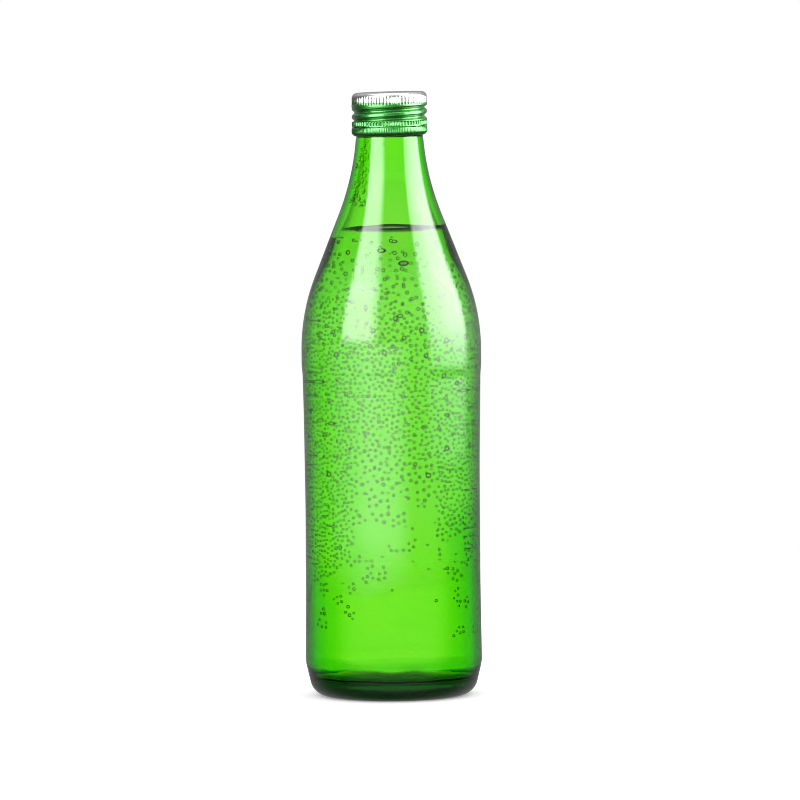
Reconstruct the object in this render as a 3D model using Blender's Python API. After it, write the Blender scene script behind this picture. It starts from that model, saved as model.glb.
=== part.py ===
"""A half-litre glass soda bottle, filled, with a 28 mm roll-on aluminium screw cap.

Metres, +Z up. The origin is the centre of the base, on the surface that the bottle stands on.
All sizes below are in millimetres and degrees, and turned() makes them metres. Run it with
blender --background --python part.py, or from Blender's text editor.
"""

import math

import bmesh
import bpy

MM = 0.001
TURN = 2 * math.pi
SEGMENTS = 40
GAP = 0.3  # between pieces that touch on the real bottle

# Driving dimensions of the bottle
TOTAL_HEIGHT = 226.8
BODY_RADIUS = 33.75  # at the shoulder, the widest place
PANEL_RADIUS = 32.8  # at the waist of the slightly hollow side
PANEL_WAIST, PANEL_HALF_HEIGHT, PANEL_HOLLOW = 62.0, 50.0, 0.45
PANEL_TOP, BUMPER_LOW = 121.4, 124.4  # the step up to the shoulder's bumper lies between
RING_INNER, RING_OUTER = 22.6, 24.8  # the flat ring that the bottle stands on
PUNT_HEIGHT = 3.2
HEEL_RADIUS, HEEL_SLOPE, HEEL_TOP = 6.8, 15.0, 12.8
SHOULDER_ARC, SHOULDER_START = 75.0, 130.2
SHOULDER_SLOPE = math.radians(21.5)
NECK_ARC, NECK_START = 98.0, 181.5
WALL, NECK_WALL = 2.7, 3.0
WALL_GROWS = (150.0, 200.0)  # the heights between which the wall thickens to the neck's
FLOOR_EDGE, FLOOR_CENTRE = 7.0, 10.8
FLOOR_FILLET = 6.5
FILL_HEIGHT = 176.0

# Driving dimensions of the 28 mm finish, and of the thread that the cap is rolled onto
PITCH = 3.175
CAP_HEIGHT = 16.2
FINISH_RADIUS = 12.55
BORE_RADIUS, LIP_RADIUS = 9.5, 0.7
THREAD_HEIGHT, THREAD_WIDTH = 0.9, 2.2
BEAD_RADIUS = 13.65
SHELL_THICKNESS = 0.3
SHELL_RADIUS = 14.05
GROOVE_DEPTH, GROOVE_WIDTH = 0.9, 2.7
SKIRT_RADIUS = 14.3
CORNER_RADIUS = 2.2
LINER_THICKNESS = 0.8

# Heights that follow from them
CAP_TOP = TOTAL_HEIGHT
CAP_BOTTOM = CAP_TOP - CAP_HEIGHT
LINER_TOP = CAP_TOP - SHELL_THICKNESS - GAP
LINER_BOTTOM = LINER_TOP - LINER_THICKNESS
MOUTH = LINER_BOTTOM - GAP
CONE_START = SHOULDER_START + SHOULDER_ARC * math.sin(SHOULDER_SLOPE)
NECK_TOP = CAP_BOTTOM - 2.1
FLOOR_TOP = FLOOR_EDGE + FLOOR_FILLET
GROOVE_FRONT = CAP_TOP - 9.8  # the lower groove's middle at the front, where x is 0 and y is low
THREAD_FRONT = GROOVE_FRONT + PITCH / 2
GROOVES_TOP = CAP_TOP - 3.4
CUT_HEIGHT = CAP_BOTTOM + 3.15  # the tamper band's top edge


def arc(radius, centre, start, end, steps):
    """Points (r, z) of an arc in the profile plane, from angle start to end in degrees."""
    angles = [math.radians(start + (end - start) * i / steps) for i in range(steps + 1)]
    return [(centre[0] + radius * math.cos(a), centre[1] + radius * math.sin(a)) for a in angles]


def spread(low, high, steps):
    return [low + (high - low) * i / steps for i in range(steps + 1)]


def arc_drop(radius, rise):
    """How far an arc has turned away from its tangent after this rise along it."""
    return radius - math.sqrt(radius**2 - rise**2)


def outer_radius(z):
    """The bottle's outer radius from the top of the heel to the foot of the finish."""
    if z <= PANEL_TOP:
        return PANEL_RADIUS + PANEL_HOLLOW * ((z - PANEL_WAIST) / PANEL_HALF_HEIGHT) ** 2
    if z <= BUMPER_LOW:
        share = (z - PANEL_TOP) / (BUMPER_LOW - PANEL_TOP)
        return outer_radius(PANEL_TOP) * (1 - share) + BODY_RADIUS * share
    if z <= CONE_START:
        return BODY_RADIUS - arc_drop(SHOULDER_ARC, max(z - SHOULDER_START, 0))
    if z <= NECK_START:
        return outer_radius(CONE_START) - (z - CONE_START) * math.tan(SHOULDER_SLOPE)
    # The neck is hollow-sided, so its arc flattens towards the top.
    sine = math.sin(SHOULDER_SLOPE) - (z - NECK_START) / NECK_ARC
    inward = NECK_ARC * (math.sqrt(1 - sine**2) - math.cos(SHOULDER_SLOPE))
    return outer_radius(NECK_START) - inward


def inner_radius(z):
    """The bottle's inner radius from the floor's fillet to the bore."""
    low, high = WALL_GROWS
    wall = WALL + (NECK_WALL - WALL) * min(max((z - low) / (high - low), 0), 1)
    return max(outer_radius(z) - wall, BORE_RADIUS)


def wall_heights():
    """The heights of the rows that the bottle's outside, its inside and the drink share."""
    side = spread(HEEL_TOP, PANEL_TOP, 5)
    shoulder = spread(SHOULDER_START, CONE_START, 5)
    neck = spread(NECK_START, NECK_TOP, 5)
    return [*side, BUMPER_LOW, *shoulder, (CONE_START + NECK_START) / 2, *neck]


def helix_relief(angle, z, front, width, first, last):
    """How strongly a right-hand helix shows at this place, from 0 to 1.

    front is its middle at the front of the bottle, and it runs from first to last turns from
    there, fading over a sixth of a turn at each end.
    """
    fade = 1 / 6
    strength = 0.0
    for turn in range(math.floor(first) - 1, math.ceil(last) + 2):
        turns = (angle / TURN + 0.25) % 1 + turn
        offset = z - front - PITCH * turns
        inside = min((turns - first) / fade, (last - turns) / fade, 1.0)
        if inside > 0 and abs(offset) < width / 2:
            strength = max(strength, inside * math.cos(math.pi * offset / width) ** 2)
    return strength


def glass_thread(angle, z):
    return THREAD_HEIGHT * helix_relief(angle, z, THREAD_FRONT, THREAD_WIDTH, -0.2, 1.25)


def rolled_groove(angle, z):
    return -GROOVE_DEPTH * helix_relief(angle, z, GROOVE_FRONT, GROOVE_WIDTH, -0.55, 1.55)


def material(name, colour, roughness, metallic=0.0, transmission=0.0, ior=1.45):
    made = bpy.data.materials.new(name)
    made.use_nodes = True
    shader = made.node_tree.nodes["Principled BSDF"]
    shader.inputs["Base Color"].default_value = (*colour, 1)
    shader.inputs["Roughness"].default_value = roughness
    shader.inputs["Metallic"].default_value = metallic
    shader.inputs["Transmission Weight"].default_value = transmission
    shader.inputs["IOR"].default_value = ior
    made.diffuse_color = (*colour, 1)
    return made


def turned(name, profile, finish, relief=None, loop=False):
    """One turned solid from (r, z) points, which run once round its half section.

    A point marked with a third value has relief(angle, z) added to its radius. A loop's last
    point joins its first; any other profile starts and ends on the axis.
    """
    mesh = bmesh.new()
    rings = []
    for radius, z, *marked in profile:
        if radius == 0:
            rings.append([mesh.verts.new((0, 0, z * MM))] * SEGMENTS)
            continue
        ring = []
        for step in range(SEGMENTS):
            angle = TURN * step / SEGMENTS
            reach = (radius + (relief(angle, z) if marked else 0)) * MM
            ring.append(mesh.verts.new((reach * math.cos(angle), reach * math.sin(angle), z * MM)))
        rings.append(ring)
    pairs = list(zip(rings, rings[1:])) + ([(rings[-1], rings[0])] if loop else [])
    for low, high in pairs:
        for step in range(SEGMENTS):
            ahead = (step + 1) % SEGMENTS
            corners = dict.fromkeys((low[step], low[ahead], high[ahead], high[step]))
            mesh.faces.new(list(corners))
    bmesh.ops.recalc_face_normals(mesh, faces=mesh.faces)
    data = bpy.data.meshes.new(name)
    mesh.to_mesh(data)
    mesh.free()
    data.materials.append(finish)
    data.shade_smooth()
    data.set_sharp_from_angle(angle=math.radians(35))
    made = bpy.data.objects.new(name, data)
    bpy.context.scene.collection.objects.link(made)
    return made


def bottle_glass():
    """The bottle: punt, standing ring, heel, side, shoulder, neck and screw finish."""
    punt = [(r, PUNT_HEIGHT * (1 - (r / RING_INNER) ** 2)) for r in spread(0, RING_INNER, 4)]
    heel = arc(HEEL_RADIUS, (RING_OUTER, HEEL_RADIUS), -90, -HEEL_SLOPE, 5)
    side = [(outer_radius(z), z) for z in wall_heights()]
    under_bead = CAP_BOTTOM + 0.6
    bead = [
        (FINISH_RADIUS + 0.05, under_bead),
        (BEAD_RADIUS, under_bead + 1.1),
        (BEAD_RADIUS, under_bead + 2.0),
        (FINISH_RADIUS, under_bead + 3.1),
    ]
    thread = [(FINISH_RADIUS, z, True) for z in spread(CUT_HEIGHT + 1.1, MOUTH - 1.1, 15)]
    lip = [
        *arc(LIP_RADIUS, (FINISH_RADIUS - LIP_RADIUS, MOUTH - LIP_RADIUS), 0, 90, 3),
        (BORE_RADIUS + LIP_RADIUS, MOUTH),
        (BORE_RADIUS, MOUTH - LIP_RADIUS),
        (BORE_RADIUS, CAP_BOTTOM),
    ]
    inside = [(inner_radius(z), z) for z in reversed(wall_heights()) if z > FLOOR_TOP]
    corner = inner_radius(FLOOR_TOP) - FLOOR_FILLET
    fillet = arc(FLOOR_FILLET, (corner, FLOOR_TOP), 0, -90, 4)
    floor = [(corner / 2, floor_height(corner / 2, corner)), (0, FLOOR_CENTRE)]
    profile = punt + heel + side + bead + thread + lip + inside + fillet + floor
    glass = material("green_glass", (0.16, 0.62, 0.03), 0.03, transmission=1.0, ior=1.52)
    return turned("bottle_glass", profile, glass, glass_thread)


def floor_height(radius, corner):
    """The inner floor's height: a low dome that meets its edge fillet at radius corner."""
    return FLOOR_CENTRE - (FLOOR_CENTRE - FLOOR_EDGE) * (radius / corner) ** 2


def soda():
    """The drink, up to the fill line and just clear of the glass."""
    corner = inner_radius(FLOOR_TOP) - FLOOR_FILLET
    floor = [(r, floor_height(r, corner) + GAP) for r in (0, corner / 2)]
    fillet = arc(FLOOR_FILLET - GAP, (corner, FLOOR_TOP), -90, 0, 4)
    heights = [z for z in wall_heights() if FLOOR_TOP < z < FILL_HEIGHT]
    side = [(inner_radius(z) - GAP, z) for z in [*heights, FILL_HEIGHT]]
    drink = material("clear_soda", (0.9, 0.97, 0.9), 0.0, transmission=1.0, ior=1.33)
    return turned("soda", [*floor, *fillet, *side, (0, FILL_HEIGHT)], drink)


def cap_shell():
    """The rolled aluminium shell: flat top, knurled shoulder, two turns of thread and skirt."""
    corner = CAP_TOP - CORNER_RADIUS
    edge = SHELL_RADIUS - CORNER_RADIUS
    skirt_top, skirt_low = CUT_HEIGHT + 1.9, CUT_HEIGHT + GAP
    threads = spread(GROOVES_TOP, skirt_top + 0.7, 13)
    outside = [(0, CAP_TOP)] + arc(CORNER_RADIUS, (edge, corner), 90, 0, 4)
    outside += [(SHELL_RADIUS, z, True) for z in threads]
    outside += [(SKIRT_RADIUS, skirt_top), (SKIRT_RADIUS, skirt_low)]
    inside = [(SKIRT_RADIUS - SHELL_THICKNESS, z) for z in (skirt_low, skirt_top)]
    inside += [(SHELL_RADIUS - SHELL_THICKNESS, z, True) for z in reversed(threads)]
    inside += arc(CORNER_RADIUS - SHELL_THICKNESS, (edge, corner), 0, 90, 4)
    inside += [(0, CAP_TOP - SHELL_THICKNESS)]
    lacquer = material("green_lacquer", (0.03, 0.21, 0.05), 0.3, metallic=0.8)
    return turned("cap_shell", outside + inside, lacquer, rolled_groove)


def cap_liner():
    """The soft sealing disc in the cap's top."""
    radius = FINISH_RADIUS + 0.05
    profile = [(0, LINER_TOP), (radius - 0.6, LINER_TOP), (radius, LINER_BOTTOM), (0, LINER_BOTTOM)]
    seal = material("seal_compound", (0.75, 0.78, 0.76), 0.6)
    return turned("cap_liner", profile, seal)


def tamper_band():
    """The ring under the cut line, rolled in below the bottle's bead."""
    inner = SKIRT_RADIUS - SHELL_THICKNESS
    tip = FINISH_RADIUS + 0.45
    profile = [
        (inner, CUT_HEIGHT),
        (inner, CAP_BOTTOM + 1.5),
        (inner - 0.45, CAP_BOTTOM + 0.75),
        (tip + 0.05, CAP_BOTTOM + 0.4),
        (tip, CAP_BOTTOM + 0.2),
        (tip + 0.2, CAP_BOTTOM),
        (tip + 0.6, CAP_BOTTOM + 0.15),
        (SKIRT_RADIUS - 0.15, CAP_BOTTOM + 0.75),
        (SKIRT_RADIUS, CAP_BOTTOM + 1.3),
        (SKIRT_RADIUS, CUT_HEIGHT),
    ]
    lacquer = material("green_lacquer_band", (0.03, 0.19, 0.05), 0.32, metallic=0.8)
    return turned("tamper_band", profile, lacquer, loop=True)


def clear_scene():
    for old in list(bpy.data.objects):
        bpy.data.objects.remove(old)


def main():
    clear_scene()
    bottle_glass()
    soda()
    cap_shell()
    cap_liner()
    tamper_band()


main()
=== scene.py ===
"""The green glass soda bottle on a pale floor: its glass, drink, bubbles and screw cap."""

import math
import random

import bmesh
import bpy
import numpy as np
from mathutils import Euler, Matrix, Vector, noise


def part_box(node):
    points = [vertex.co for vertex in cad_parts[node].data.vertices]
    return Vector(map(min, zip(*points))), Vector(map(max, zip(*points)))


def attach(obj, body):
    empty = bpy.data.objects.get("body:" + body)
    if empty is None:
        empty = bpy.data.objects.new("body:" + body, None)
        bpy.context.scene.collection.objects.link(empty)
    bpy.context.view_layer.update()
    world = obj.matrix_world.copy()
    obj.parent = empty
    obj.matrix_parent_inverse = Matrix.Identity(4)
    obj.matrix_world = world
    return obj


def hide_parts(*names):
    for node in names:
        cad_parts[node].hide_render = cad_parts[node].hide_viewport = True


MM = 0.001
TURN = 2 * math.pi

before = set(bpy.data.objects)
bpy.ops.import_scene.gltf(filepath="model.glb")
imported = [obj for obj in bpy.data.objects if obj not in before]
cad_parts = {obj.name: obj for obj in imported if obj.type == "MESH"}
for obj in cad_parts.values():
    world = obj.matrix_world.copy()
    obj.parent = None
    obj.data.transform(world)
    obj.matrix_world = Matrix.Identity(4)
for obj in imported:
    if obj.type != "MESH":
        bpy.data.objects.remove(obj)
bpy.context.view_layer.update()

# Sizes in millimetres, from the frame
GLASS_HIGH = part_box("bottle_glass")[1] / MM
DRINK_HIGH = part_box("soda")[1] / MM
SHELL_LOW, SHELL_HIGH = (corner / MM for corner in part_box("cap_shell"))
BAND_LOW, BAND_HIGH = (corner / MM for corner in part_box("tamper_band"))
LINER_LOW, LINER_HIGH = (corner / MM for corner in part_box("cap_liner"))
BODY_RADIUS = GLASS_HIGH.x
MOUTH = GLASS_HIGH.z
FILL_HEIGHT = DRINK_HIGH.z
CAP_TOP = SHELL_HIGH.z
CAP_BOTTOM = BAND_LOW.z

# The bottle's outline, as the CAD part has it but for the fillet round its inner floor
PANEL_RADIUS = 32.8
PANEL_WAIST, PANEL_HALF_HEIGHT, PANEL_HOLLOW = 62.0, 50.0, 0.45
PANEL_TOP, BUMPER_LOW = 121.4, 124.4
RING_INNER, RING_OUTER = 22.6, 24.8
PUNT_HEIGHT = 3.2
HEEL_RADIUS, HEEL_SLOPE, HEEL_TOP = 6.8, 15.0, 12.8
SHOULDER_ARC, SHOULDER_START = 75.0, 130.2
SHOULDER_SLOPE = math.radians(21.5)
CONE_START = SHOULDER_START + SHOULDER_ARC * math.sin(SHOULDER_SLOPE)
NECK_ARC, NECK_START = 98.0, 181.5
NECK_TOP = CAP_BOTTOM - 2.1
WALL, NECK_WALL = 2.7, 3.0
WALL_GROWS = (150.0, 200.0)
FLOOR_EDGE, FLOOR_CENTRE = 7.0, 10.8
FLOOR_FILLET, FILLET_END = 7.0, 22.0  # the fillet meets the wall at this many degrees
FLOOR_TOP = FLOOR_EDGE + FLOOR_FILLET * (1 - math.sin(math.radians(FILLET_END)))
FINISH_RADIUS, BEAD_RADIUS, BORE_RADIUS, LIP_RADIUS = 12.55, 13.65, 9.5, 0.7
PITCH = 3.175
GROOVE_FRONT = CAP_TOP - 9.8
OVERLAP = 0.06  # how far the drink and the wet patches reach into the glass

# What only the looks have, in millimetres and degrees
SURFACE_LEAN = math.radians(0.9)  # the drink's surface is higher at +X
CREEP_HEIGHT, CREEP_REACH = 2.4, 1.7  # how the drink creeps up the glass
SIDE_SHADE_FADES = (48.0, 64.0)  # the heights over which the painted shade on the low sides ends
SIDE_SHADE_CLIMB = 0.6  # how much higher that end is for each millimetre towards +X
FOOT_SHADE_TOP = 12.0  # painted shade: the glass is drawn darker below this
LACQUER_TOP = CAP_TOP - 3.35  # bare metal above, green lacquer below
SHADOW_EDGE = (BODY_RADIUS - 12, BODY_RADIUS - 6)  # where the painted shadow under the base ends
BUBBLES_LOW, BUBBLES_HIGH = 18, 172  # no bubble is outside these heights
LARGE_LOW, CROWDED_FROM = 84, 128  # where large bubbles start, and where they crowd

# The zones of small bubbles: lowest, highest, and how far apart they sit
LEFT_LOW, LEFT_TOP, LEFT_APART = 50, 164, 1.4
CENTRE_LOW, CENTRE_TOP, CENTRE_APART = 74, 164, 1.6
RIGHT_LOW, RIGHT_TOP, RIGHT_APART = 66, 163, 1.5


# ---------------------------------------------------------------- outlines


def arc(radius, centre, start, end, steps):
    """Points (radius, height) of an arc from one angle to another, in degrees."""
    angles = np.radians(np.linspace(start, end, steps + 1))
    return np.stack([centre[0] + radius * np.cos(angles), centre[1] + radius * np.sin(angles)], 1)


def outline(z):
    """The CAD part's outer radius at these heights, above the heel."""
    panel = PANEL_RADIUS + PANEL_HOLLOW * ((z - PANEL_WAIST) / PANEL_HALF_HEIGHT) ** 2
    share = np.clip((z - PANEL_TOP) / (BUMPER_LOW - PANEL_TOP), 0, 1)
    share = share**2 * (3 - 2 * share)
    rise = np.clip(z, SHOULDER_START, CONE_START) - SHOULDER_START
    shoulder = BODY_RADIUS - (SHOULDER_ARC - np.sqrt(SHOULDER_ARC**2 - rise**2))
    shoulder = shoulder - (np.clip(z, CONE_START, NECK_START) - CONE_START) * math.tan(SHOULDER_SLOPE)
    sine = math.sin(SHOULDER_SLOPE) - (np.maximum(z, NECK_START) - NECK_START) / NECK_ARC
    shoulder = shoulder - NECK_ARC * (np.sqrt(1 - sine**2) - math.cos(SHOULDER_SLOPE))
    return panel * (1 - share) + shoulder * share


def outer_radius(z):
    """The outer radius with its corners eased, from the end of the heel's arc up."""
    heel_end = arc(HEEL_RADIUS, (RING_OUTER, HEEL_RADIUS), -HEEL_SLOPE, -HEEL_SLOPE, 1)[0]
    total = 0
    for shift in np.linspace(-1.5, 1.5, 7):
        height = np.asarray(z + shift, float)
        share = (height - heel_end[1]) / (HEEL_TOP - heel_end[1])
        heel = heel_end[0] + (outline(np.float64(HEEL_TOP)) - heel_end[0]) * share
        total = total + np.where(height < HEEL_TOP, heel, outline(np.maximum(height, HEEL_TOP)))
    return total / 7


def inner_radius(z):
    """The inner radius, from the floor's fillet to the bore."""
    low, high = WALL_GROWS
    wall = WALL + (NECK_WALL - WALL) * np.clip((z - low) / (high - low), 0, 1)
    return np.maximum(outer_radius(z) - wall, BORE_RADIUS)


def floor_rows(count):
    """The inner floor from its centre outwards, then its fillet up to the wall."""
    across = FLOOR_FILLET * math.cos(math.radians(FILLET_END))
    corner = inner_radius(np.float64(FLOOR_TOP)) - across
    radii = np.linspace(corner / count, corner, count)
    dome = FLOOR_CENTRE - (FLOOR_CENTRE - FLOOR_EDGE) * (radii / corner) ** 2
    fillet = arc(FLOOR_FILLET, (corner, FLOOR_EDGE + FLOOR_FILLET), -90, -FILLET_END, 12)
    return np.concatenate([np.stack([radii, dome], 1), fillet[1:]])


def wall_rows(low, high, step):
    """The inner wall from one height up to another."""
    z = np.linspace(low, high, max(int((high - low) / step), 2))
    return np.stack([inner_radius(z), z], 1)


# ---------------------------------------------------------------- relief


def waves(angle, z, count, seed, reach, tallest):
    """A smooth uneven surface: sines round the bottle and up it, between -1 and 1 or so."""
    source = random.Random(seed)
    total = 0
    for _ in range(count):
        turns = source.randint(1, reach)
        climb = TURN / source.uniform(tallest * 0.4, tallest) * source.choice((-1, 1))
        total = total + np.sin(turns * angle + climb * z + source.uniform(0, TURN))
    return total / math.sqrt(count)


def inner_ripple(angle, z):
    """How far the inner wall stands off its true place, in millimetres."""
    fade = np.clip((z - 9) / 12, 0, 1) * np.clip((MOUTH - 12 - z) / 10, 0, 1)
    return 0.09 * fade * waves(angle, z, 9, 5, 7, 60)


def floor_ripple(angle, radius, z):
    """How uneven the edge of the inner floor is, in millimetres."""
    edge = np.clip(1 - abs(z - 10.5) / 6, 0, 1) * np.clip((radius - 18) / 6, 0, 1)
    return edge * (0.7 + 0.30 * waves(angle, 0 * z, 8, 11, 17, 40))


def helix(angle, z, front, width):
    """A cosine ridge of this width that climbs PITCH a turn and passes `front` at -Y."""
    climbed = front + ((angle / TURN + 0.25) % 1) * PITCH
    total = 0
    for turn in (-1, 0, 1):
        share = np.clip(abs(z - climbed - turn * PITCH) / width, 0, 1)
        total = total + np.cos(share * math.pi / 2) ** 2
    return total


# ---------------------------------------------------------------- meshes


def new_object(name, points, faces, material):
    """An object from points in millimetres, shaded smooth."""
    mesh = bpy.data.meshes.new(name)
    mesh.from_pydata((np.asarray(points) * MM).tolist(), [], faces)
    mesh.polygons.foreach_set("use_smooth", [True] * len(mesh.polygons))
    mesh.materials.append(material)
    mesh.update()
    obj = bpy.data.objects.new(name, mesh)
    bpy.context.scene.collection.objects.link(obj)
    return obj


def lathe(name, rows, segments, material, relief=None, loop=False):
    """A closed turned mesh. Its rows go from the axis out and round and back to the axis.

    A loop closes on its own first row instead. relief(angle, radius, height) gives both again.
    """
    rows = np.asarray(rows, float)
    angle = np.arange(segments)[None, :] * TURN / segments
    radius = np.repeat(rows[:, :1], segments, 1)
    height = np.repeat(rows[:, 1:2], segments, 1)
    if relief:
        radius, height = relief(angle, radius, height)
    grid = np.stack([radius * np.cos(angle), radius * np.sin(angle), height], -1)
    points = grid.reshape(-1, 3)
    count = len(rows)
    across = np.arange(segments)
    beside = (across + 1) % segments
    faces = []
    for row in range(count if loop else count - 1):
        low = row * segments
        high = ((row + 1) % count) * segments
        quads = np.stack([low + across, low + beside, high + beside, high + across], 1)
        faces += quads.tolist()
    if not loop:
        ends = [[0, 0, rows[0, 1]], [0, 0, rows[-1, 1]]]
        points = np.concatenate([points, ends])
        first, last = len(points) - 2, len(points) - 1
        top = (count - 1) * segments
        faces += np.stack([across * 0 + first, beside, across], 1).tolist()
        faces += np.stack([across * 0 + last, top + across, top + beside], 1).tolist()
    return new_object(name, points, faces, material)


def blobs(name, matrices, detail, material):
    """Many small icospheres as one mesh, one for each 4x4 matrix in millimetres."""
    shape = bmesh.new()
    bmesh.ops.create_icosphere(shape, subdivisions=detail, radius=1)
    ball = np.array([v.co for v in shape.verts])
    triangles = np.array([[v.index for v in f.verts] for f in shape.faces])
    shape.free()
    points, faces = [], []
    for index, matrix in enumerate(matrices):
        matrix = np.array(matrix)
        points.append(ball @ matrix[:3, :3].T + matrix[:3, 3])
        faces.append(triangles + index * len(ball))
    return new_object(name, np.concatenate(points), np.concatenate(faces).tolist(), material)


# ---------------------------------------------------------------- materials


class Nodes:
    """The node tree of a new material or world, with short calls to add and join nodes."""

    def __init__(self, owner, output="OutputMaterial"):
        self.owner = owner
        owner.use_nodes = True
        self.tree = owner.node_tree
        self.tree.nodes.clear()
        self.output = self.add(output)

    def join(self, value, socket):
        """Links a socket to another, or sets its plain value."""
        if isinstance(value, bpy.types.NodeSocket):
            self.tree.links.new(value, socket)
        else:
            socket.default_value = value

    def add(self, kind, settings=None, **inputs):
        """A new node. An input's name has _ for each space."""
        node = self.tree.nodes.new("ShaderNode" + kind)
        for key, value in (settings or {}).items():
            setattr(node, key, value)
        for key, value in inputs.items():
            self.join(value, node.inputs[key.replace("_", " ")])
        return node

    def axis(self, vector, name):
        return self.add("SeparateXYZ", Vector=vector).outputs[name]

    def math(self, operation, *values):
        """The result of a sum on these values, in the order of the node's sockets."""
        node = self.add("Math", {"operation": operation})
        for value, socket in zip(values, node.inputs):
            self.join(value, socket)
        return node.outputs[0]

    def span(self, value, low, high, first=0.0, last=1.0, how="LINEAR"):
        """A value mapped from low and high to first and last, and held beyond them."""
        ends = {"From_Min": low, "From_Max": high, "To_Min": first, "To_Max": last}
        node = self.add("MapRange", {"interpolation_type": how}, Value=value, **ends)
        return node.outputs["Result"]

    def blend(self, factor, first, second, how="MIX"):
        """Two colours mixed or multiplied."""
        node = self.add("Mix", {"data_type": "RGBA", "blend_type": how}, Factor=factor)
        self.join(first, node.inputs[6])
        self.join(second, node.inputs[7])
        return node.outputs[2]

    def ramp(self, factor, stops):
        """A colour by a factor. Each stop is a place from 0 to 1 and a colour or a grey."""
        node = self.add("ValToRGB", Fac=factor)
        ramp = node.color_ramp
        while len(ramp.elements) < len(stops):
            ramp.elements.new(0.5)
        for element, (place, colour) in zip(ramp.elements, stops):
            element.position = place
            element.color = (*(colour if isinstance(colour, tuple) else grey(colour)), 1)
        return node.outputs["Color"]

    def noise(self, place, **inputs):
        return self.add("TexNoise", Vector=place, **inputs).outputs["Fac"]

    def finish(self, surface, volume=None):
        """Joins the output, and returns the material or world."""
        self.join(surface.outputs[0], self.output.inputs["Surface"])
        if volume:
            self.join(volume.outputs[0], self.output.inputs["Volume"])
        return self.owner


def new_material(name):
    return Nodes(bpy.data.materials.new(name))


def grey(value):
    return (value, value, value)


def glass_painted_shade(n, place, height):
    """Painted shade on the glass's colour: darker at grazing angles and at the foot, and a deeper
    green on the low sides.
    """
    facing = n.add("LayerWeight", Blend=0.5).outputs["Facing"]
    # Painted shade: the glass is drawn darker towards grazing angles, along its edges.
    edge = n.ramp(facing, ((0.34, 1), (0.5, 0.75), (0.6, 0.32), (0.68, 0.2), (0.76, 0.12), (1, 0.05)))
    # Painted shade: the glass colour is darkened below the foot's height.
    foot = n.ramp(n.span(height, 0, FOOT_SHADE_TOP * MM), ((0.33, 0.25), (0.5, 0.75), (0.8, 1)))
    edge_and_foot_shade = n.blend(1, edge, foot, "MULTIPLY")
    # Painted shade: the low sides, higher towards +X, are drawn a darker, deeper green towards their
    # edges.
    level = n.math("MULTIPLY_ADD", n.axis(place, "X"), -SIDE_SHADE_CLIMB, height)
    low, high = SIDE_SHADE_FADES
    share = n.span(level, low * MM, high * MM, 1, 0, "SMOOTHSTEP")
    side_shade = n.ramp(facing, ((0.12, 1), (0.27, (0.45, 0.8, 0.05)), (0.5, (0.45, 0.8, 0.2))))
    sides = n.blend(share, (1, 1, 1, 1), side_shade)
    return n.blend(1, edge_and_foot_shade, sides, "MULTIPLY")


def condensation(n, place, height):
    """How strongly a faint patchy mist shows: at the standing ring, and up the body to the neck."""
    stops = ((0.012, 1), (0.03, 0), (0.2, 0), (0.38, 0.45), (0.62, 0.6), (0.74, 0))
    misted = n.ramp(n.span(height, 0, CAP_TOP * MM), stops)
    patches = n.ramp(n.noise(place, Scale=45.0, Detail=3.0), ((0.3, 0.5), (0.6, 1)))
    return n.blend(1, misted, patches, "MULTIPLY")


def green_glass():
    """Clear green bottle glass, coloured by its thickness, with painted shade at its edges, its foot
    and its low sides.
    """
    n = new_material("green_glass")
    place = n.add("TexCoord").outputs["Object"]
    height = n.axis(place, "Z")
    seeds = n.noise(place, Scale=160.0, Detail=2.0)
    bump = n.add("Bump", Height=seeds, Strength=0.02, Distance=0.0005).outputs["Normal"]
    shader = n.add(
        "BsdfPrincipled",
        Base_Color=glass_painted_shade(n, place, height),
        Roughness=0.0,
        IOR=1.52,
        Transmission_Weight=1.0,
        Coat_Weight=condensation(n, place, height),
        Coat_Roughness=0.55,
        Normal=bump,
    )
    absorption = n.add("VolumeAbsorption", Color=(0.604, 0.956, 0.0, 1), Density=840.0)
    return n.finish(shader, absorption)


def clear_liquid(name, ior, rim=None, brim_shade_height=None):
    """Water-clear liquid, or with an index under 1, gas within it.

    A bubble's rim may be painted darker, as painted shade, and a drink may be painted darker from
    this height in millimetres up, as painted shade along its liquid line.
    """
    n = new_material(name)
    place = n.add("TexCoord").outputs["Object"]
    drift = n.noise(place, Scale=40.0)
    bump = n.add("Bump", Height=drift, Strength=0.01, Distance=0.0003).outputs["Normal"]
    glass = n.add("BsdfGlass", Roughness=0.0, IOR=ior, Normal=bump)
    if rim:
        # Painted shade: the gas is drawn darker towards its rim.
        facing = n.add("LayerWeight", Blend=0.5).outputs["Facing"]
        n.join(n.ramp(facing, ((0.3, 1), (0.42, rim), (1, rim))), glass.inputs["Color"])
    # Painted shade: the drink is drawn darker from about this height up, which makes the dark liquid
    # line.
    if brim_shade_height:
        share = n.span(n.axis(place, "Z"), (brim_shade_height - 0.5) * MM, (brim_shade_height + 0.5) * MM)
        n.join(n.ramp(share, ((0, 1), (1, 0.22))), glass.inputs["Color"])
    return n.finish(glass)


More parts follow.
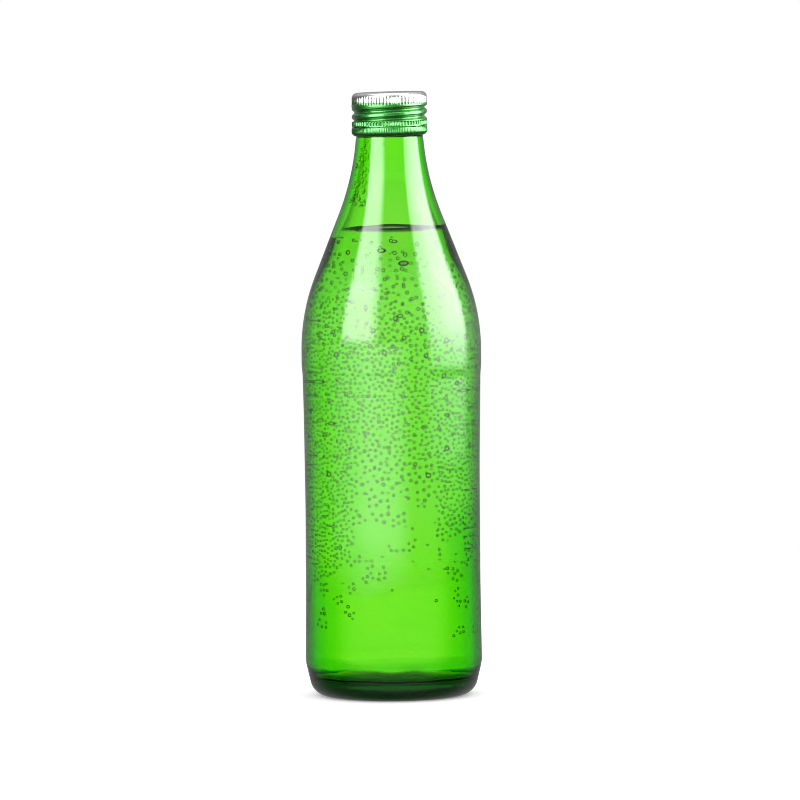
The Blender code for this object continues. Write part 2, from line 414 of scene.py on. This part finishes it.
def cap_paint():
    """Bare aluminium on the cap's top and corner, green lacquer below."""
    n = new_material("cap_paint")
    place = n.add("TexCoord").outputs["Object"]
    wobble = n.noise(place, Scale=900.0, Detail=1.0)
    uneven = n.math("MULTIPLY_ADD", wobble, 0.5 * MM, n.axis(place, "Z"))
    border = LACQUER_TOP * MM
    silver = n.span(uneven, border - 0.12 * MM, border + 0.12 * MM)
    fine = n.noise(place, Scale=2500.0)
    green = n.ramp(fine, ((0.3, (0.022, 0.19, 0.026)), (0.7, (0.036, 0.25, 0.04))))
    metal = n.ramp(fine, ((0.3, 0.52), (0.7, 0.64)))
    shader = n.add(
        "BsdfPrincipled",
        Base_Color=n.blend(silver, green, metal),
        Metallic=1.0,
        Roughness=n.span(silver, 0, 1, 0.4, 0.25),
        Coat_Weight=1.0,
        Coat_Roughness=0.12,
    )
    return n.finish(shader)


def seal_plastic():
    """The off-white sealing liner inside the cap."""
    n = new_material("seal_plastic")
    fine = n.noise(n.add("TexCoord").outputs["Object"], Scale=1200.0)
    colour = n.ramp(fine, ((0.3, (0.72, 0.72, 0.69)), (0.7, (0.80, 0.80, 0.78))))
    return n.finish(n.add("BsdfPrincipled", Base_Color=colour, Roughness=0.45))


def pale_floor():
    """A matt white table with a painted shadow under the bottle's base, that fades away towards its
    rim.

    It glows a little where it is seen straight, which keeps the contact shadow pale.
    """
    n = new_material("pale_floor")
    place = n.add("TexCoord").outputs["Object"]
    colour = n.ramp(n.noise(place, Scale=30.0), ((0.3, 0.93), (0.7, 0.95)))
    reach = n.add("VectorMath", {"operation": "LENGTH"})
    n.join(place, reach.inputs[0])
    reach = reach.outputs["Value"]
    low, high = SHADOW_EDGE
    # Painted shadow: the floor's colour is darkened under the bottle's base.
    shade = n.ramp(n.span(reach, low * MM, high * MM), ((0, 0.10), (1, 1)))
    matt = n.add("BsdfDiffuse", Color=n.blend(1, colour, shade, "MULTIPLY"))
    seen = n.add("LightPath").outputs["Is Camera Ray"]
    lift = n.add("Emission", Color=(1, 1, 1, 1), Strength=n.math("MULTIPLY", seen, FLOOR_LIFT))
    lit = n.add("AddShader")
    n.join(matt.outputs[0], lit.inputs[0])
    n.join(lift.outputs[0], lit.inputs[1])
    mix = n.add("MixShader", Fac=n.span(reach, *FLOOR_FADES))
    n.join(lit.outputs[0], mix.inputs[1])
    n.join(n.add("BsdfTransparent").outputs[0], mix.inputs[2])
    return n.finish(mix)


# ---------------------------------------------------------------- the bottle


def bottle_wall(material):
    """The glass: punt, standing ring, heel, side, shoulder, neck, screw finish and bore."""
    punt = np.linspace(0.6, RING_INNER, 14)
    punt = np.stack([punt, PUNT_HEIGHT * (1 - (punt / RING_INNER) ** 2)], 1)
    heel = arc(HEEL_RADIUS, (RING_OUTER, HEEL_RADIUS), -90, -HEEL_SLOPE, 12)
    heights = np.linspace(heel[-1, 1] + 0.9, NECK_TOP, 170)
    side = np.stack([outer_radius(heights), heights], 1)
    under = CAP_BOTTOM + 0.6
    bead = np.array(
        [
            (FINISH_RADIUS - 0.1, under - 1.1),
            (FINISH_RADIUS + 0.05, under - 0.3),
            (BEAD_RADIUS - 0.3, under + 0.7),
            (BEAD_RADIUS, under + 1.1),
            (BEAD_RADIUS, under + 2.0),
            (BEAD_RADIUS - 0.3, under + 2.5),
            (FINISH_RADIUS + 0.1, under + 3.0),
        ]
    )
    threads = np.linspace(BAND_HIGH.z + 1.1, MOUTH - LIP_RADIUS, 26)
    threads = np.stack([threads * 0 + FINISH_RADIUS, threads], 1)
    lip = arc(LIP_RADIUS, (FINISH_RADIUS - LIP_RADIUS, MOUTH - LIP_RADIUS), 15, 90, 4)
    bore = arc(LIP_RADIUS, (BORE_RADIUS + LIP_RADIUS, MOUTH - LIP_RADIUS), 90, 180, 4)
    inside = np.concatenate([floor_rows(12), wall_rows(FLOOR_TOP + 0.25, MOUTH - 2.5, 1.25)])[::-1]
    rows = np.concatenate([punt, heel, side, bead, threads, lip, bore, inside])
    inner_from = len(rows) - len(inside)

    def relief(angle, radius, z):
        outer = np.arange(len(rows))[:, None] < inner_from
        height = np.clip((z - 2) / 10, 0, 1) * np.clip((NECK_TOP - z) / 10, 0, 1)
        skin = 0.02 * height * waves(angle, z, 7, 3, 6, 70)
        finish = (z > BAND_HIGH.z + 1.2) & (z < MOUTH - 1.0)
        thread = 0.85 * finish * helix(angle, z, GROOVE_FRONT + PITCH / 2, 1.1)
        wall = inner_ripple(angle, z)
        lift = floor_ripple(angle, radius, z)
        return radius + np.where(outer, skin + thread, wall), z + np.where(outer, 0, lift)

    return lathe("bottle_wall", rows, 176, material, relief)


def drink(material):
    """The drink, wetting the glass and creeping a little way up it."""
    inside = np.concatenate([floor_rows(10), wall_rows(FLOOR_TOP + 0.25, FILL_HEIGHT + 0.2, 1.3)])
    step = np.gradient(inside, axis=0)
    step /= np.linalg.norm(step, axis=1)[:, None]
    skin = inside + OVERLAP * np.stack([step[:, 1], -step[:, 0]], 1)
    away = np.array([0.25, 0.6, 1.1, 1.8, 2.8, 4.2, 6.5, 10, 14])
    creep = CREEP_HEIGHT * np.exp(-away / CREEP_REACH)
    top = np.stack([skin[-1, 0] - away, FILL_HEIGHT - 2.2 + creep], 1)
    rows = np.concatenate([skin, top])
    wet = len(skin)

    def relief(angle, radius, z):
        walled = np.arange(len(rows))[:, None] < wet
        lean = radius * np.cos(angle) * math.tan(SURFACE_LEAN)
        lean = lean * np.clip((z - FILL_HEIGHT + 8) / 8, 0, 1)
        ripple = np.where(walled, inner_ripple(angle, z), 0)
        lift = np.where(walled, floor_ripple(angle, radius, z), 0)
        return radius + ripple, z + lift + lean

    return lathe("drink", rows, 144, material, relief)


# ---------------------------------------------------------------- bubbles


def step_up(value, low, high):
    """0 below low, 1 above high, smooth between."""
    share = min(max((value - low) / (high - low), 0), 1)
    return share**2 * (3 - 2 * share)


def behind(angle):
    """How far round the back a place is: 0 at the front and sides, 1 at the back."""
    return step_up(-math.cos(angle), -0.1, 0.75)


def bubble_spacing(angle, z):
    """How far apart the small bubbles sit here, in millimetres, or None where there are none.

    The front is angle 0 and -X is at negative angles.
    """
    side = math.sin(angle)
    patchy = noise.noise(Vector((side * 4, math.cos(angle) * 4, z / 9)))
    left, right = step_up(-side, 0.40, 0.55), step_up(side, 0.45, 0.6)
    centre = 1 - left - right
    low = LEFT_LOW * left + CENTRE_LOW * centre + RIGHT_LOW * right + 9 * patchy
    top = LEFT_TOP * left + CENTRE_TOP * centre + RIGHT_TOP * right + 12 * patchy
    if low < z < top:
        middle = CENTRE_APART + 0.5 * step_up(-z, -106, -78)
        apart = LEFT_APART * left + RIGHT_APART * right + middle * centre
        apart += 1.2 * step_up(z, top - 26, top) + 0.3 * step_up(-z, -low - 12, -low)
        return apart + 1.8 * behind(angle)
    stray = noise.noise(Vector((side * 6 + 9, math.cos(angle) * 6, z / 5)))
    if 24 + 16 * centre < z < low and stray > 0.3 - 0.2 * abs(side):
        return 1.8 + 1.2 * behind(angle)
    return None


def scatter(count, seed, spacing, low, high):
    """Places (angle, height, spacing) on the inner wall, none nearer to another than its spacing."""
    source = np.random.default_rng(seed)
    heights = source.uniform(low, high, count)
    angles = source.uniform(-TURN / 2, TURN / 2, count)
    walls = inner_radius(heights)
    cell, taken, places = 1.0, {}, []
    for angle, z, wall in zip(angles.tolist(), heights.tolist(), walls.tolist()):
        apart = spacing(angle, z)
        if not apart:
            continue
        across = angle * wall
        column, row = int(across // cell), int(z // cell)
        reach = int(apart // cell) + 1
        near = (
            taken.get((column + dx, row + dz))
            for dx in range(-reach, reach + 1)
            for dz in range(-reach, reach + 1)
        )
        if any(p and math.hypot(p[0] - across, p[1] - z) < apart for p in near):
            continue
        taken[column, row] = (across, z)
        places.append((angle, z, apart))
    return places


def on_wall(angle, z, size, stretch=(1, 1, 1), sink=0.0):
    """The matrix of a blob that touches the inner wall, or sinks into it this far."""
    true_angle = angle - TURN / 4  # the front is at -Y
    wall = float(inner_radius(z)) + float(inner_ripple(true_angle, z))
    slope = (float(inner_radius(z + 1)) - float(inner_radius(z - 1))) / 2
    depth = size * stretch[0]
    reach = wall - (depth + 0.03) * math.sqrt(1 + slope**2) + sink
    turn = Matrix.Rotation(true_angle, 4, "Z")
    lean = Matrix.Rotation(math.atan(slope), 4, "Y")
    place = turn @ Matrix.Translation((reach, 0, z)) @ lean
    return place @ Matrix.Diagonal((*(size * s for s in stretch), 1))


def fine_bubbles(material):
    """The crowd of small bubbles that cling to the inner wall, in bands up the bottle."""
    source = random.Random(21)
    places = scatter(130000, 4, bubble_spacing, BUBBLES_LOW, BUBBLES_HIGH)
    places.sort(key=lambda place: place[1])
    made = []
    band = 2300
    for first in range(0, len(places), band):
        matrices = []
        for angle, z, apart in places[first : first + band]:
            size = 0.22 + 0.18 * min(apart, 2.2)
            size *= source.lognormvariate(0, 0.12) * (1 - 0.5 * behind(angle))
            matrices.append(on_wall(angle, z, size))
        name = f"bubbles_fine_{first // band + 1}"
        made.append(blobs(name, matrices, 2, material))
    return made


def large_bubbles(material):
    """The few bubbles that have grown, mostly below the shoulder."""

    def spacing(angle, z):
        return (3.4 if z > CROWDED_FROM else 6) + 8 * behind(angle)

    source = random.Random(8)
    matrices = []
    for angle, z, _ in scatter(1500, 15, spacing, LARGE_LOW, BUBBLES_HIGH):
        size = min(0.66 * source.lognormvariate(0, 0.25), 1.05)
        matrices.append(on_wall(angle, z, size))
    return blobs("bubbles_large", matrices, 3, material)


def neck_patches(material):
    """Wet patches on the inside of the neck, over the drink."""
    source = random.Random(31)
    matrices = []
    for _ in range(80):
        z = source.uniform(184, 209)
        angle = math.radians(source.gauss(-50, 12))
        size = source.uniform(0.35, 0.95)
        stretch = (0.25, source.uniform(0.7, 1.2), source.uniform(0.8, 1.4))
        matrices.append(on_wall(angle, z, size, stretch, size * 0.22 + OVERLAP))
    return blobs("neck_patches", matrices, 3, material)


# ---------------------------------------------------------------- the cap

CAP_RADIUS = 14.1
SHEET = 0.28
FLUTES = 68
CANT = math.tan(math.radians(1.2))  # the cap sits slightly askew, higher at +X


def canted(angle, radius, z):
    """Heights leant with the cap."""
    return z + CANT * radius * np.cos(angle)


def cap_outside():
    """The shell's outer rows (radius, height), from its cut edge up to the top's centre."""
    below = np.array(
        [
            (SHELL_LOW.z, CAP_RADIUS),
            (SHELL_LOW.z + 0.15, CAP_RADIUS + 0.02),
        ]
    )[:, ::-1]
    slits = np.linspace(SHELL_LOW.z + 0.3, CAP_TOP - 10.6, 16)
    grooves = np.linspace(CAP_TOP - 10.45, CAP_TOP - 5.5, 36)
    knurl = np.linspace(CAP_TOP - 5.3, CAP_TOP - 2.0, 18)
    side = np.concatenate([slits, grooves, knurl])
    side = np.stack([side * 0 + CAP_RADIUS, side], 1)
    corner = arc(2.0, (CAP_RADIUS - 2.0, CAP_TOP - 2.0), 6, 90, 12)
    top = np.linspace(CAP_RADIUS - 2.8, 0.8, 9)
    return np.concatenate([below, side, corner, np.stack([top, top * 0 + CAP_TOP], 1)])


def cap_relief(angle, radius, z):
    """Flutes, rolled grooves and slits of the shell's side."""
    down = CAP_TOP - z
    grooved = np.clip((down - 5.0) / 0.8, 0, 1) * np.clip((11.0 - down) / 0.6, 0, 1)
    groove = 0.95 * grooved * helix(angle, z, GROOVE_FRONT, 1.25)
    flute = 0.5 - 0.5 * np.cos(FLUTES * angle)
    knurled = np.clip((down - 1.2) / 0.8, 0, 1) * np.clip((4.7 - down) / 0.7, 0, 1)
    slit = np.clip((down - 10.7) / 0.35, 0, 1) * np.clip((12.4 - down) / 0.35, 0, 1)
    swell = 0.12 * np.clip(1 - abs(down - 4.9) / 0.6, 0, 1)
    side = radius - 0.24 * knurled * flute - 0.35 * slit * flute - groove + swell
    rim = np.where(down > 12.6, np.cos(FLUTES / 4 * angle) > 0.92, 0)
    return side, z - 0.12 * rim * (down > 12.7)


def cap_metal(material):
    """The aluminium shell, with its inside a sheet's thickness in."""
    outside = cap_outside()
    inside_heights = np.linspace(CAP_TOP - 1.6, SHELL_LOW.z, 34)
    corner = arc(1.7, (CAP_RADIUS - 2.0, CAP_TOP - 2.0), 90, 20, 5)
    roof = np.linspace(0.8, CAP_RADIUS - 2.6, 5)
    inside = np.concatenate(
        [
            np.stack([roof, roof * 0 + CAP_TOP - SHEET], 1),
            corner,
            np.stack([inside_heights * 0 + CAP_RADIUS - SHEET, inside_heights], 1)[3:],
        ]
    )
    rows = np.concatenate([inside, outside])

    def relief(angle, radius, z):
        sided = radius > CAP_RADIUS - 1
        moved, height = cap_relief(angle, radius, z)
        radius, z = np.where(sided, moved, radius), np.where(sided, height, z)
        spread = np.clip(1 - radius / 9, 0, 1)
        dent = 0.12 * spread * np.where(z > CAP_TOP - 0.5, 1, 0)
        return radius, canted(angle, radius, z) - dent

    return lathe("cap_metal", rows, FLUTES * 8, material, relief)


def band_ring(material):
    """The tamper band, tucked in under the glass bead."""
    low = BAND_LOW.z
    outside = [
        (12.75, low),
        (12.95, low - 0.02),
        (13.45, low + 0.35),
        (13.95, low + 0.9),
        (CAP_RADIUS, low + 1.4),
        (CAP_RADIUS + 0.02, low + 1.9),
        (CAP_RADIUS + 0.02, BAND_HIGH.z - 0.1),
        (CAP_RADIUS - 0.05, BAND_HIGH.z),
    ]
    inside = [(r - SHEET, z + 0.12) for r, z in reversed(outside[2:-1])]
    rows = np.array([*outside, (CAP_RADIUS - SHEET, BAND_HIGH.z), *inside])

    def relief(angle, radius, z):
        outer = np.arange(len(rows))[:, None] < len(outside)
        fluted = outer * (radius > 13.4) * np.clip((BAND_HIGH.z - 0.4 - z) / 0.5, 0, 1)
        flute = 0.10 * fluted * np.cos(FLUTES * 2 * angle)
        tooth = 0.12 * (np.cos(FLUTES / 4 * angle) > 0.92) * (z > BAND_HIGH.z - 0.05)
        return radius + flute, canted(angle, radius, z) + tooth

    return lathe("band_ring", rows, FLUTES * 8, material, relief, loop=True)


def cap_seal(material):
    """The liner disc pressed into the cap's top."""
    low, high = LINER_LOW.z, LINER_HIGH.z
    reach = LINER_HIGH.x
    radii = np.linspace(0.8, reach - 0.3, 10)
    rim = 0.12 * (abs(radii - (FINISH_RADIUS + BORE_RADIUS) / 2) < 1.2)
    under = np.stack([radii, low + rim], 1)
    edge = [(reach, low + 0.3), (reach, high - 0.2)]
    over = np.stack([radii[::-1], radii * 0 + high], 1)
    return lathe("cap_seal", np.concatenate([under, edge, over]), 96, material)


# ---------------------------------------------------------------- the studio


WORLD_STRENGTH = 1.12  # what lights matt surfaces
FLOOR_LIFT = 0.3  # how much the floor glows where the camera sees it
FLOOR_FADES = (0.40, 0.60)  # metres from the bottle over which the floor fades away
BOX_REACH = 0.5  # metres from the bottle to the light boxes


def table_disc(material):
    """The pale floor: a low disc whose top is at height 0."""
    rows = [(10.0, -2.0), (600.0, -2.0), (600.0, 0.0), (300.0, 0.0), (100.0, 0.0), (10.0, 0.0)]
    return lathe("table_disc", rows, 96, material)


def studio_world():
    """A white backdrop. Through the glass it is darker overhead, and in reflections grey."""
    n = Nodes(bpy.data.worlds.new("studio"), "OutputWorld")
    direction = n.add("TexCoord").outputs["Generated"]
    height = n.axis(direction, "Z")
    depth = n.math("ABSOLUTE", n.axis(direction, "Y"))
    overhead = n.span(height, 0.3, 0.8, 1.0, 0.15, "SMOOTHSTEP")
    sides = n.span(depth, 0.15, 0.8, 0.04, 0.27, "SMOOTHSTEP")
    roof = n.span(height, 0.2, 0.65, 0.0, 0.4, "SMOOTHSTEP")
    ray = n.add("LightPath")
    strength = WORLD_STRENGTH
    levels = (
        ("Is Glossy Ray", n.math("ADD", sides, roof)),
        ("Is Transmission Ray", overhead),
        ("Is Camera Ray", 1.0),
    )
    for name, level in levels:
        mix = n.add("Mix", Factor=ray.outputs[name], A=strength, B=level)
        strength = mix.outputs["Result"]
    background = n.add("Background", Color=(1, 1, 1, 1), Strength=strength)
    bpy.context.scene.world = n.finish(background)


def glow(name, across, up):
    """Light that varies over a card. Each table gives places from 0 to 1 and strengths."""
    n = new_material(name)
    place = n.add("TexCoord").outputs["UV"]
    shares = []
    for axis, table in (("X", across), ("Y", up)):
        most = max(value for _, value in table)
        stops = [(where, value / most) for where, value in table]
        shares.append(n.math("MULTIPLY", n.ramp(n.axis(place, axis), stops), most))
    both = n.add("AddShader")
    lit = n.add("Emission", Color=(1, 1, 1, 1), Strength=n.math("MULTIPLY", *shares))
    for shader, socket in ((lit, 0), (n.add("BsdfTransparent"), 1)):
        n.join(shader.outputs[0], both.inputs[socket])
    return n.finish(both)


def card(name, reach, start, end, low, high, across, up):
    """A glowing card bent round the bottle that shows only in reflections.

    Its angles run from the front towards -X, in degrees, and its heights are in metres.
    """
    steps = 24
    mesh = bpy.data.meshes.new(name)
    points, places = [], []
    for step in range(steps + 1):
        angle = math.radians(start + (end - start) * step / steps)
        for share in (0, 1):
            height = low + (high - low) * share
            points.append((-reach * math.sin(angle), -reach * math.cos(angle), height))
            places.append((step / steps, share))
    faces = [(2 * i, 2 * i + 1, 2 * i + 3, 2 * i + 2) for i in range(steps)]
    mesh.from_pydata(points, [], faces)
    layer = mesh.uv_layers.new(name="place")
    for loop in mesh.loops:
        layer.data[loop.index].uv = places[loop.vertex_index]
    mesh.materials.append(glow(name, across, up))
    obj = bpy.data.objects.new(name, mesh)
    bpy.context.scene.collection.objects.link(obj)
    obj.visible_camera = False
    obj.visible_transmission = False
    obj.visible_diffuse = False
    obj.visible_shadow = False


def studio_lights():
    """The light boxes: one on each side, a low wide glow in front and one lamp overhead."""
    left = ((0, 0), (0.28, 1), (0.85, 1), (1, 0))
    left_up = ((0, 0), (0.08, 9), (0.3, 9), (0.5, 11), (0.7, 9), (0.85, 7), (0.95, 7), (1, 0))
    card("left_box", BOX_REACH, 14, 68, 0.14, 0.75, left, left_up)
    right = ((0, 0), (0.1, 0.7), (0.5, 1.2), (0.85, 1.1), (1, 0))
    right_up = ((0, 0), (0.012, 1.0), (0.05, 1.9), (0.09, 4), (0.25, 9), (0.6, 11), (1, 9))
    card("right_box", BOX_REACH, -45, -114, 0.045, 0.75, right, right_up)
    front = ((0, 0), (0.2, 0.8), (0.475, 1), (0.635, 0.6), (0.8, 0.35), (1, 0))
    front_up = ((0, 0), (0.1, 3), (0.8, 2.5), (1, 0))
    card("front_glow", BOX_REACH + 0.01, -26, 90, 0.005, 0.17, front, front_up)
    softbox("top_box", (0, 0, 1.0), (0, 0, 0), (0.8, 0.8), 2.5)


def softbox(name, place, aim, size, radiance):
    """A rectangular lamp that shows only in reflections."""
    lamp = bpy.data.lights.new(name, "AREA")
    lamp.shape = "RECTANGLE"
    lamp.size, lamp.size_y = size
    lamp.energy = radiance * math.pi * size[0] * size[1]
    obj = bpy.data.objects.new(name, lamp)
    bpy.context.scene.collection.objects.link(obj)
    obj.location = place
    obj.rotation_euler = (Vector(aim) - Vector(place)).to_track_quat("-Z", "Y").to_euler()
    obj.visible_camera = False
    obj.visible_transmission = False
    obj.visible_diffuse = False


CAMERA_LENS = 324  # millimetres, on a 36 mm sensor
CAMERA_ROLL = math.radians(-0.48)
CAMERA_X = 0.0031  # metres beside the bottle's axis


def camera():
    """A long lens a little above the bottle's middle, rolled to match."""
    data = bpy.data.cameras.new("camera")
    data.sensor_width = 36
    data.lens = CAMERA_LENS
    obj = bpy.data.objects.new("camera", data)
    bpy.context.scene.collection.objects.link(obj)
    target = Vector((CAMERA_X, 0, 0.1111))
    obj.location = Vector((CAMERA_X, -2.7, 0.285))
    look = (target - obj.location).to_track_quat("-Z", "Y")
    roll = Euler((0, 0, CAMERA_ROLL)).to_quaternion()
    obj.rotation_mode = "QUATERNION"
    obj.rotation_quaternion = look @ roll
    data.clip_start, data.clip_end = 0.01, 50
    bpy.context.scene.camera = obj


def put(obj, body, node=None):
    """Puts a piece on its CAD body, and hides the CAD node that it stands for."""
    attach(obj, body)
    if node:
        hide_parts(node)


def main():
    """Builds every piece on its body, then the studio and the camera."""
    bpy.context.scene.view_settings.view_transform = "Standard"
    bpy.context.scene.cycles.filter_width = 1.0
    put(bottle_wall(green_glass()), "bottle", "bottle_glass")
    # The drink is painted darker near its top, as painted shade along the liquid line.
    clear = clear_liquid("drink_clear", 1.33, brim_shade_height=FILL_HEIGHT - 1.1)
    put(drink(clear), "bottle", "soda")
    # The 0.04 paints the bubbles' rims dark, as painted shade.
    gas = clear_liquid("bubble_gas", 0.75, 0.04)
    for crowd in fine_bubbles(gas):
        put(crowd, "bottle")
    put(large_bubbles(gas), "bottle")
    put(neck_patches(clear_liquid("wet_patch", 1.33)), "bottle")
    paint = cap_paint()
    put(cap_metal(paint), "cap", "cap_shell")
    put(band_ring(paint), "band", "tamper_band")
    put(cap_seal(seal_plastic()), "liner", "cap_liner")
    floor = table_disc(pale_floor())
    floor.visible_glossy = False
    studio_world()
    studio_lights()
    camera()


main()
